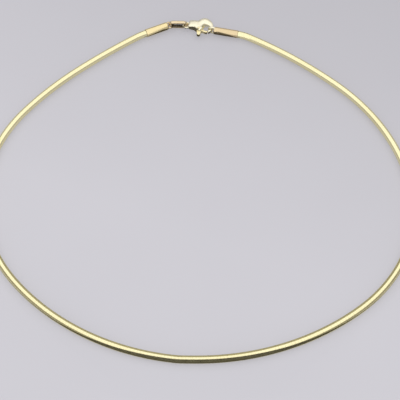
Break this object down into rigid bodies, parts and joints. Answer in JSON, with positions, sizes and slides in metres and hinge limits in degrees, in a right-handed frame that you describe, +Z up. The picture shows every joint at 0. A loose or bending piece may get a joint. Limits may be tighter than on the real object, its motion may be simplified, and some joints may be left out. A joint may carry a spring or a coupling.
{
  "type": "omega necklace",
  "caption": "Round omega necklace: a stiff, smooth plated collar with two end caps, an oval jump ring and a lobster clasp whose lever turns.",
  "frame": {"origin": "centre of the bounding box's bottom face, inside the open loop, on the surface that the necklace lies on", "axes": "+Z up, across the lying necklace; +Y towards the clasp at the back of the neck, -Y towards the throat; +X to the right, seen from above"},
  "size_m": [0.1352, 0.134, 0.0038],
  "materials": {
    "band_gold": "polished",
    "fittings_gold": "polished"
  },
  "bodies": {
    "necklace": {"omega_chain": "band_gold", "left_end_cap": "fittings_gold", "right_end_cap": "fittings_gold", "jump_ring": "fittings_gold", "clasp_body": "fittings_gold", "clasp_rivet": "fittings_gold"},
    "lever": {"clasp_lever": "fittings_gold"}
  },
  "joints": [
    {"name": "lever_turn", "type": "hinge", "parent": "necklace", "child": "lever", "pos_m": [0.00016, 0.06266, 0.0016], "axis": [0, 0, 1], "range_deg": [0, 15], "stiffness_Nm_per_rad": 0.0005, "springref_deg": -8.59}
  ]
}
